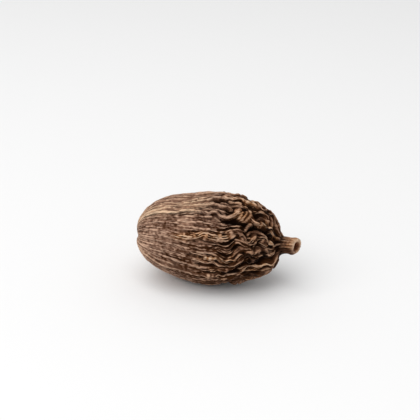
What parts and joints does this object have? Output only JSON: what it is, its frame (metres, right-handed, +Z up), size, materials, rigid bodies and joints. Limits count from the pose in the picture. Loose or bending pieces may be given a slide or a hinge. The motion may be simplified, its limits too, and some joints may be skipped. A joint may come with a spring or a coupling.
{
  "type": "black cardamom pod",
  "caption": "Dried black cardamom pod with a ridged dark brown husk, a crumpled shoulder and a short hollow stub, lying on its side.",
  "frame": {"origin": "on the surface the pod lies on, under the middle of its length and width", "axes": "+X along the pod from its blunt end to its neck, +Z up, +Y away from the side that the neck leans to"},
  "size_m": [0.0386, 0.0225, 0.0217],
  "materials": {
    "dried_husk": "dull dried plant husk, dark brown in the furrows and tan on the crests"
  },
  "bodies": {
    "root": {"cardamom_pod": "dried_husk"}
  },
  "joints": []
}
